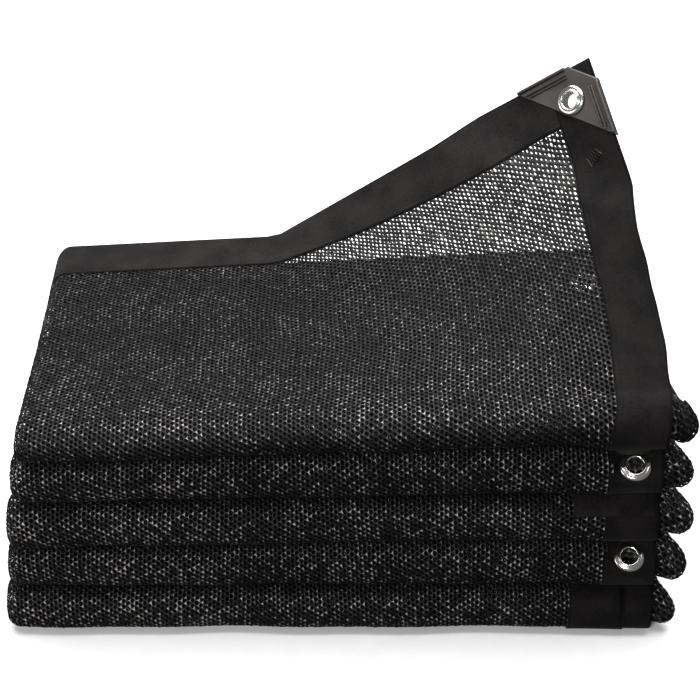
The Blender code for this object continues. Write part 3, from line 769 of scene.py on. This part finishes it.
def plastic_material():
    """Moulded polypropylene with a fine satin grain from its mould."""
    material, tree, shader, place_on = new_material("moulded_plastic", False)
    grain = node(tree, "ShaderNodeTexNoise", Vector=place_on, Scale=1500.0, Detail=3.0).outputs["Fac"]
    cloudy = node(tree, "ShaderNodeTexNoise", Vector=place_on, Scale=45.0, Detail=3.0).outputs["Fac"]
    fill(tree, shader, Base_Color=ramp(tree, cloudy, (0.3, "#2e2b29"), (0.7, "#413c3a")),
         Roughness=node(tree, "ShaderNodeMapRange", Value=cloudy, To_Min=0.26, To_Max=0.4).outputs["Result"],
         Normal=node(tree, "ShaderNodeBump", Height=grain, Strength=0.25, Distance=0.0002).outputs["Normal"])
    return material


def nickel_material():
    """Bright nickel plate on pressed brass, with faint polishing marks."""
    material, tree, shader, place_on = new_material("pressed_nickel", False)
    marks = node(tree, "ShaderNodeTexNoise", Vector=place_on, Scale=220.0, Detail=2.0).outputs["Fac"]
    fill(tree, shader, Base_Color=hexed("#e8e6e2"), Metallic=1.0,
         Roughness=node(tree, "ShaderNodeMapRange", Value=marks, To_Min=0.14, To_Max=0.22).outputs["Result"])
    return material


def floor_material():
    """Matt white studio paper."""
    material, tree, shader, place_on = new_material("studio_paper", False)
    fibre = node(tree, "ShaderNodeTexNoise", Vector=place_on, Scale=60.0, Detail=2.0).outputs["Fac"]
    fill(tree, shader, Base_Color=ramp(tree, fibre, (0.3, "#f4f4f4"), (0.7, "#f8f8f8")), Roughness=0.9)
    return material


FINISH = {
    "yarn": yarn_material(), "ply": ply_material(), "thread": thread_material(),
    # The side tape is the same tape as the end tape with darker colours: painted shade where it runs down
    # the side and round the roll fronts
    "side_tape": tape_material("woven_side_tape_painted_darker", 0, "#040404", "#181514"),
    "end_tape": tape_material("woven_end_tape", 1, "#090808", "#201d1c"),
    "plastic": plastic_material(), "nickel": nickel_material(), "floor": floor_material(),
}


def net_piece(name, surface, seed, painted_shine, start_along=0.0, keep=None):
    """One knitted piece over a surface, or over those of its cells that keep chooses."""
    points, faces, flat, painted_glint = knit(surface, seed, start_along, keep, painted_shine)
    piece = mesh_object(name, points, faces, "yarn", flat)
    piece.data.attributes.new("painted_glint", "FLOAT", "POINT").data.foreach_set("value", painted_glint)
    return piece


# Painted shine along a roll: painted highlight over its middle, painted shade towards its creases
def roll_painted_shine(surface):
    shares, values = ROLL_PAINTED_SHINE
    return [share * surface.along[-1] for share in shares], values


def make_nets():
    """The knit that shows: the leaf, the front of each roll and the folds past the hem."""
    pieces = []
    leaf = [Station("leaf", 0, 1.0 - step / 42.0, 0.0) for step in range(42)]
    first = leaf + front_stations(0, 22, (), (7.0, 15.0, 22.0))
    surface = Surface([[section_point(s, row) for row in outer_rows(s, 6.0, 14.0)] for s in first])
    foot = surface.along[len(leaf)]
    split, half = foot + 2.0, surface.across[-1] / 2.0
    # Painted shine along the leaf: painted highlight over the top roll's nose, painted shade below it
    painted_shine = [foot + place for place in LEAF_PAINTED_SHINE[0]], LEAF_PAINTED_SHINE[1]
    for name, keep in (
            ("leaf_net_right", lambda a, b: (b < split) & (a < half)),
            ("leaf_net_left", lambda a, b: (b < split) & (a >= half)),
            ("roll_1_net", lambda a, b: b >= split)):
        pieces.append(net_piece(name, surface, 11, painted_shine, -5.0, keep))
    for number in range(1, len(ROLLS)):
        found = front_stations(number, 22, (20.0, 14.0, 7.0), (7.0, 14.0, 20.0))
        surface = Surface([[section_point(s, row) for row in outer_rows(s, 6.0, 14.0)] for s in found])
        pieces.append(net_piece("roll_%d_net" % (number + 1), surface, 20 + number, roll_painted_shine(surface)))
    for number in range(len(ROLLS)):
        found = front_stations(number, 18, (48.0, 36.0, 24.0, 12.0), (12.0, 24.0, 36.0, 48.0))
        surface = Surface([[section_point(s, row) for row in bulge_rows(s)][::-1] for s in found])
        pieces.append(net_piece("bulge_%d_net" % (number + 1), surface, 40 + number, roll_painted_shine(surface)))
    return pieces


def grid_sheet(name, rows, finish, thickness, bevel=0.0):
    """A thin closed sheet through a grid of points."""
    surface = Surface(rows)
    count = surface.grid.shape[1]
    flat = np.stack(np.meshgrid(surface.across, surface.along), 2).reshape(-1, 2)
    faces = []
    for row in range(len(rows) - 1):
        for step in range(count - 1):
            low = row * count + step
            faces.append((low, low + count, low + count + 1, low + 1))
    piece = mesh_object(name, surface.grid.reshape(-1, 3), faces, finish, flat)
    only(piece)
    shell = piece.modifiers.new("thickness", "SOLIDIFY")
    shell.thickness = thickness * MM
    shell.offset = 0.0
    bpy.ops.object.modifier_apply(modifier=shell.name)
    if bevel:
        soften(piece, bevel, 2)
    return piece


def only(piece):
    bpy.ops.object.select_all(action="DESELECT")
    bpy.context.view_layer.objects.active = piece
    piece.select_set(True)


def soften(piece, width, segments):
    """Rounds the sharp edges of a piece."""
    only(piece)
    bevel = piece.modifiers.new("softened", "BEVEL")
    bevel.width = width * MM
    bevel.segments = segments
    bevel.limit_method = "ANGLE"
    bevel.angle_limit = math.radians(50)
    bpy.ops.object.modifier_apply(modifier=bevel.name)


def strip_stations(found, turn, between, last):
    """Stations down the strip below those found, turn degrees apart round each front fold."""
    for number in range(len(ROLLS)):
        steps = range(int(180.0 / turn) + 1)
        found += [Station("front", number, 90.0 - turn * step, float(number)) for step in steps]
        layer = 2 * number + 1
        if number == len(ROLLS) - 1:
            return found + [Station("flat", layer, share, float(number)) for share in last]
        found += [Station("flat", layer, share, number + 0.25) for share in between]
        found += [Station("back", number, 90.0 - 15.0 * step, number + 0.5) for step in range(13)]
        found += [Station("flat", layer + 1, share, number + 0.75) for share in between[::-1]]


def make_inner_plies():
    leaf = [Station("leaf", 0, share, 0.0) for share in (1.0, 0.8, 0.6, 0.4, 0.2)]
    found = strip_stations(leaf, 15.0, (0.25, 0.5, 0.75), (0.2, 0.45, 0.7, 0.8))
    rows = [[section_point(station, row) for row in inner_rows(station)] for station in found]
    return grid_sheet("inner_plies", rows, "ply", PLY_THICKNESS)


def make_stage():
    bpy.ops.mesh.primitive_plane_add(size=16.0, location=(0.0, 4.0, -0.0002))
    floor = bpy.context.object
    floor.name = "studio_floor"
    bpy.ops.object.transform_apply(location=True, rotation=True, scale=True)
    floor.data.materials.append(FINISH["floor"])
    floor.visible_diffuse = False
    floor.visible_glossy = False


def make_camera():
    """The photograph's view, fitted to the cloth's edges and folds."""
    data = bpy.data.cameras.new("view")
    data.sensor_width = 36.0
    data.lens = data.sensor_width * VIEW_FOCAL / VIEW_WIDTH
    data.clip_end = 50.0
    camera = placed("view", data)
    elevation = math.radians(VIEW_ELEVATION)
    target = (np.array(VIEW_TARGET) + SHIFT) * MM
    away = np.array((0.0, -math.cos(elevation), math.sin(elevation))) * VIEW_DISTANCE * MM
    camera.matrix_world = Matrix.Translation(Vector(target + away)) @ Matrix.Rotation(
        math.pi / 2.0 - elevation, 4, "X")
    bpy.context.scene.camera = camera


def area_light(name, place_at, towards, size, power):
    data = bpy.data.lights.new(name, "AREA")
    data.shape = "RECTANGLE"
    data.size, data.size_y = size
    data.energy = power
    direction = Vector(towards) - Vector(place_at)
    aimed = direction.to_track_quat("-Z", "Y").to_matrix().to_4x4()
    placed(name, data).matrix_world = Matrix.Translation(Vector(place_at)) @ aimed


def make_light():
    world = bpy.data.worlds.new("studio")
    world.use_nodes = True
    tree = world.node_tree
    fill(tree, tree.nodes["Background"], Color=hexed("#ffffff"), Strength=ROOM_LIGHT)
    bpy.context.scene.world = world
    bpy.context.scene.view_settings.view_transform = "Standard"
    for softbox in SOFTBOXES:
        area_light(*softbox)


def frame_at(origin, across, up):
    """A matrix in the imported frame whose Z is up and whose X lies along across."""
    z = Vector(up).normalized()
    x = Vector(across)
    x = (x - z * x.dot(z)).normalized()
    turned_to = Matrix((x, z.cross(x), z)).transposed().to_4x4()
    return Matrix.Translation(Vector((np.array(origin) + SHIFT) * MM)) @ turned_to


def roll_eyelet(number):
    """Middle, across and up of the flat that an eyelet holds on a roll."""
    x = roll_value(float(number), "hem") - ROLL_EYELET_IN
    ends = [front_point(number, angle, x, OUTER_RANK, 0.0) for angle in EYELET_FACET]
    beside = [front_point(number, angle, x + 5.0, OUTER_RANK, 0.0) for angle in EYELET_FACET]
    across = sum(beside) - sum(ends)
    up = np.cross(across, ends[0] - ends[1])
    up = up / np.linalg.norm(up) + LEAN_BACK * np.array((-0.1, 0.0, 1.0))
    return sum(ends) / 2.0, across, up / np.linalg.norm(up)


def flattened(point):
    """Tape that is pressed flat round the eyelets on the rolls."""
    for number in EYELET_ROLLS:
        middle, _, up = EYELET_PLACES[number]
        away = point - middle
        reach = np.linalg.norm(away - up * away.dot(up))
        if reach < PRESSED_REACH and abs(away.dot(up)) < PRESSED_DEPTH:
            point = point - up * away.dot(up) * (1.0 - smooth((reach - PRESSED) / PRESSED_FADE))
    return point


EYELET_PLACES = {number: roll_eyelet(number) for number in EYELET_ROLLS}


def tape_stations(side_x):
    """Close stations along a side tape, from the lifted end to the end at the floor."""
    count = int(curved_leaf(side_x, 1.0)[1] / TAPE_STEP)
    leaf = [Station("leaf", 0, 1.0 - step / count, 0.0) for step in range(count)]
    return strip_stations(leaf, 7.5, (0.05, 0.25, 0.5, 0.75), (0.1, 0.3, 0.5, 0.7, 0.85, 1.0))


def tape_slip(station):
    """How far the side tape lies inside its line on the leaf's foot and the top roll."""
    if station.kind == "leaf":
        return TAPE_SLIP[0] * (1.0 - smooth(station.value / SLIP_RUN))
    if station.number == 0 and station.kind == "front":
        return TAPE_SLIP[0] + (TAPE_SLIP[1] - TAPE_SLIP[0]) * (0.5 - station.value / 180.0) ** 1.5
    if station.number == 1 and station.kind == "flat":
        return TAPE_SLIP[1] * (1.0 - station.value)
    return 0.0


def make_side_binding(name, rank, edge_in, on_leaf, lift):
    rows = []
    for number, station in enumerate(tape_stations(HEM_X + edge_in)):
        edge = roll_value(station.place, "hem") + edge_in
        if rank == OUTER_RANK:
            edge -= tape_slip(station)
        row = []
        for step in range(10):
            uneven = 0.35 * math.sin(number / 3.1 + 0.2 * step) + 0.25 * math.sin(number / 1.3 + step)
            if station.kind == "leaf" and station.value > 0.6:
                uneven = 0.0
            x = edge - TAPE_WIDTH * (1.0 - step / 9.0) + uneven
            point = place(station, x, rank, lift, on_leaf)
            row.append(flattened(point) if rank == OUTER_RANK else point)
        rows.append(row)
    return grid_sheet(name, rows, "side_tape", TAPE_THICKNESS, 0.5)


def make_turned_end(name, number, edges, angles, finish):
    """Tape that is turned in over the knit beside the side tape, round the front of a roll."""
    lift = TAPE_OUT + TURNED_TAPE / 2.0
    rows = []
    for step in range(17):
        angle = angles[0] + (angles[1] - angles[0]) * step / 16.0
        row = []
        for side in range(8):
            x = edges[0] + (edges[1] - edges[0]) * side / 7.0 + 0.4 * math.sin(step / 2.3)
            row.append(front_point(number, angle, x, OUTER_RANK, lift))
        rows.append(row)
    return grid_sheet(name, rows, finish, TURNED_TAPE)


def make_end_binding(name, found):
    """The tape over an end of the cloth, round all of its plies."""
    rows = []
    for station in found:
        section = outer_rows(station, 0.0, 0.0) + inner_rows(station)[1:]
        rows.append([section_point(station, row) for row in section])
    return grid_sheet(name, rows, "end_tape", TAPE_THICKNESS, 0.5)


def make_bindings():
    middle = (TAPE_OUT - TAPE_THICKNESS / 2.0)
    upper = make_side_binding("side_tape_upper", OUTER_RANK, 0.0, 1.0, middle)
    under = make_side_binding("side_tape_under", UNDER_RANK, UNDER_EDGE, 0.0, -middle)
    top = [Station("leaf", 0, 1.0 - step / 9.0, 0.0, True) for step in range(10)]
    end_top = make_end_binding("end_tape_top", top)
    layer, last = 2 * len(ROLLS) - 1, float(len(ROLLS) - 1)
    seam = 1.0 - TAPE_WIDTH / (BOTTOM_END_Y - FOLD_START_Y)
    low = [Station("flat", layer, seam + (1.0 - seam) * step / 4.0, last) for step in range(5)]
    end_bottom = make_end_binding("end_tape_bottom", low)
    for turned_end in TURNED_ENDS:
        make_turned_end(*turned_end)
    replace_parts(upper, "side_binding_upper")
    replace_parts(under, "side_binding_under")
    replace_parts(end_top, "end_binding_top")
    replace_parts(end_bottom, "end_binding_bottom")
    return upper, under


def cut_round(piece, matrix):
    """A clean round hole, where an eyelet's barrel goes through."""
    bpy.ops.mesh.primitive_cylinder_add(vertices=40, radius=BARREL_HOLE * MM, depth=HOLE_CUT_DEPTH * MM)
    cutter = bpy.context.object
    cutter.matrix_world = matrix
    cut = piece.modifiers.new("hole", "BOOLEAN")
    cut.operation = "DIFFERENCE"
    cut.solver = "EXACT"
    cut.object = cutter
    only(piece)
    bpy.ops.object.modifier_apply(modifier=cut.name)
    bpy.data.objects.remove(cutter, do_unlink=True)


def turned_ring(name, profile, matrix):
    """A metal ring turned from a profile of radii and heights in millimetres."""
    first = (0.0, 0.0, profile[0][1] * MM)
    bpy.ops.mesh.primitive_circle_add(vertices=56, radius=profile[0][0] * MM, location=first)
    ring = bpy.context.object
    ring.name = name
    bpy.ops.object.transform_apply(location=True, rotation=True, scale=True)
    bpy.ops.object.mode_set(mode="EDIT")
    bpy.ops.mesh.select_mode(type="VERT")
    bpy.ops.mesh.select_all(action="SELECT")
    for (radius, height), (wider, higher) in zip(profile, profile[1:]):
        rise = {"value": (0.0, 0.0, (higher - height) * MM)}
        bpy.ops.mesh.extrude_region_move(TRANSFORM_OT_translate=rise)
        grow = wider / radius
        bpy.ops.transform.resize(value=(grow, grow, 1.0), center_override=(0.0, 0.0, 0.0))
    bpy.ops.mesh.select_all(action="DESELECT")
    bpy.ops.mesh.select_non_manifold()
    bpy.ops.mesh.bridge_edge_loops()
    bpy.ops.mesh.select_all(action="SELECT")
    bpy.ops.mesh.normals_make_consistent(inside=False)
    bpy.ops.object.mode_set(mode="OBJECT")
    bpy.ops.object.shade_smooth_by_angle(angle=math.radians(50))
    ring.matrix_world = matrix
    bpy.ops.object.transform_apply(location=True, rotation=True, scale=True)
    return dressed(ring, "nickel")


def make_eyelet(name, node_name, matrix, front, back):
    """A domed cap with a rolled lip, and a flat washer behind."""
    profile = (
        (EYELET_BORE + 0.1, -back - 0.7), (EYELET_BORE, -back), (EYELET_BORE, front + 0.9),
        (EYELET_BORE + 0.15, front + 1.55), (EYELET_BORE + 0.6, front + 2.0),
        (EYELET_BORE + 1.2, front + 2.1), (EYELET_BORE + 1.75, front + 1.85),
        (EYELET_BORE + 2.1, front + 1.45), (8.6, front + 1.35),
        (9.5, front + 1.2), (10.3, front + 0.85), (10.85, front + 0.35), (EYELET_RIM, front + 0.05),
        (10.7, front - 0.1), (6.6, front - 0.1), (6.6, -back + 0.1), (10.5, -back + 0.05),
        (10.6, -back - 0.2), (10.0, -back - 0.6), (8.0, -back - 0.9), (EYELET_BORE + 0.7, -back - 1.0),
    )
    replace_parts(turned_ring(name, profile, matrix), node_name)


def make_hardware(upper, under):
    corner, inward, forward, up = PLANE
    middle = corner + (inward + forward) * CORNER_EYELET
    matrix = frame_at(middle, -inward, up)
    wall = PROTECTOR_CLEAR + PROTECTOR_WALL
    make_eyelet("corner_ring", "eyelet_corner", matrix, TAPE_OUT + wall, wall - TAPE_IN)
    cut_round(upper, matrix)
    make_protector(matrix)
    make_rails()
    make_tack()
    for number in EYELET_ROLLS:
        matrix = frame_at(*EYELET_PLACES[number])
        name = "roll_%d_ring" % (number + 1)
        make_eyelet(name, "eyelet_roll_%d" % (number + 1), matrix, TAPE_OUT, -TAPE_IN)
        cut_round(upper, matrix)
    x = HEM_X + UNDER_EDGE - TAPE_WIDTH / 2.0
    share = (UNDER_EYELET_Y - FOLD_START_Y) / (UNDER_END_Y - FOLD_START_Y)
    station = Station("leaf", 0, share, 0.0)
    left, right = (place(station, x + side, UNDER_RANK) for side in (-EYELET_RIM, EYELET_RIM))
    across = right - left
    matrix = frame_at((left + right) / 2.0, across, np.cross(across, (0.0, 1.0, 0.0)))
    make_eyelet("under_ring", "eyelet_under", matrix, -TAPE_IN, TAPE_OUT)
    cut_round(under, matrix)


def tube(name, path, radius, finish):
    """A thin round bar through points in millimetres of the solids' frame."""
    curve = bpy.data.curves.new(name, "CURVE")
    curve.dimensions = "3D"
    curve.bevel_depth = radius * MM
    curve.bevel_resolution = 2
    curve.use_fill_caps = True
    line = curve.splines.new("POLY")
    line.points.add(len(path) - 1)
    for point, spot in zip(line.points, path):
        point.co = tuple((np.array(spot) + SHIFT) * MM) + (1.0,)
    only(placed(name, curve))
    bpy.ops.object.convert(target="MESH")
    piece = bpy.context.object
    bpy.ops.object.shade_smooth()
    dressed(piece, finish)


def make_tack():
    """The zigzag bar-tack that closes the tape beside the moulded corner."""
    corner, inward, forward, up = PLANE
    ends = [corner + inward * a + forward * b for a, b in (TACK_FROM, TACK_TO)]
    along = ends[1] - ends[0]
    aside = np.cross(up, along / np.linalg.norm(along))
    path = []
    for step in range(2 * TACK_TURNS + 1):
        side = TACK_HALF if step % 2 else -TACK_HALF
        path.append(ends[0] + along * step / (2.0 * TACK_TURNS) + aside * side + up * (TAPE_OUT + TACK_LIFT))
    tube("bar_tack", path, TACK_THREAD, "thread")


def make_rails():
    """Ridges moulded along both legs of the corner cover."""
    corner, inward, forward, up = PLANE
    top = TAPE_OUT + PROTECTOR_CLEAR + PROTECTOR_WALL
    legs = (("end", inward, forward, PROTECTOR_LEGS[0]), ("side", forward, inward, PROTECTOR_LEGS[1]))
    for number, (edge_in, radius) in enumerate(RIDGES):
        for leg, along, aside, length in legs:
            far = length - RIDGE_SHORT - RIDGE_MITRE * edge_in
            start = corner + aside * edge_in + up * (top - 0.15)
            path = [start + along * (RIDGE_FROM + (far - RIDGE_FROM) * step / 6.0) for step in range(7)]
            tube("cover_ridge_%s_%d" % (leg, number + 1), path, radius, "plastic")


def make_protector(hole_matrix):
    """A moulded cover round the corner, open across its tip, with a rim along each edge."""
    corner, inward, forward, up = PLANE
    top = TAPE_OUT + PROTECTOR_CLEAR + PROTECTOR_WALL
    bottom = TAPE_IN - PROTECTOR_CLEAR - PROTECTOR_WALL
    bpy.ops.mesh.primitive_cube_add(size=2.0)
    cover = bpy.context.object
    cover.name = "corner_cover"
    for vertex in cover.data.vertices:
        x, y, z = vertex.co
        share = PROTECTOR_NOTCH if y > 0.0 else 1.0
        side, end = (share, 0.0) if x < 0.0 else (0.0, share)
        spot = corner + inward * (PROTECTOR_LEGS[0] * side - PROTECTOR_EDGE)
        spot = spot + forward * (PROTECTOR_LEGS[1] * end - PROTECTOR_EDGE)
        vertex.co = Vector((spot + up * (top if z > 0.0 else bottom) + SHIFT) * MM)
    bpy.ops.object.mode_set(mode="EDIT")
    bpy.ops.mesh.select_all(action="SELECT")
    bpy.ops.mesh.normals_make_consistent(inside=False)
    bpy.ops.mesh.select_all(action="DESELECT")
    bpy.ops.object.mode_set(mode="OBJECT")
    facing = Vector(up)
    for face in cover.data.polygons:
        face.select = abs(face.normal.dot(facing)) > 0.9
    bpy.ops.object.mode_set(mode="EDIT")
    bpy.ops.mesh.select_mode(type="FACE")
    bpy.ops.mesh.inset(thickness=RIM_WIDTH * MM, depth=0.0)
    bpy.ops.mesh.inset(thickness=RIM_STEP * MM, depth=-RIM_DROP * MM)
    bpy.ops.object.mode_set(mode="OBJECT")
    soften(cover, COVER_ROUNDING, 3)
    cut_round(cover, hole_matrix)
    only(cover)
    bpy.ops.object.shade_smooth_by_angle(angle=math.radians(35))
    dressed(cover, "plastic")
    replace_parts(cover, "corner_protector")


make_stage()
make_camera()
make_light()
nets = make_nets()
make_inner_plies()
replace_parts(nets[0], *[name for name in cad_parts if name.startswith("mesh_")])
make_hardware(*make_bindings())
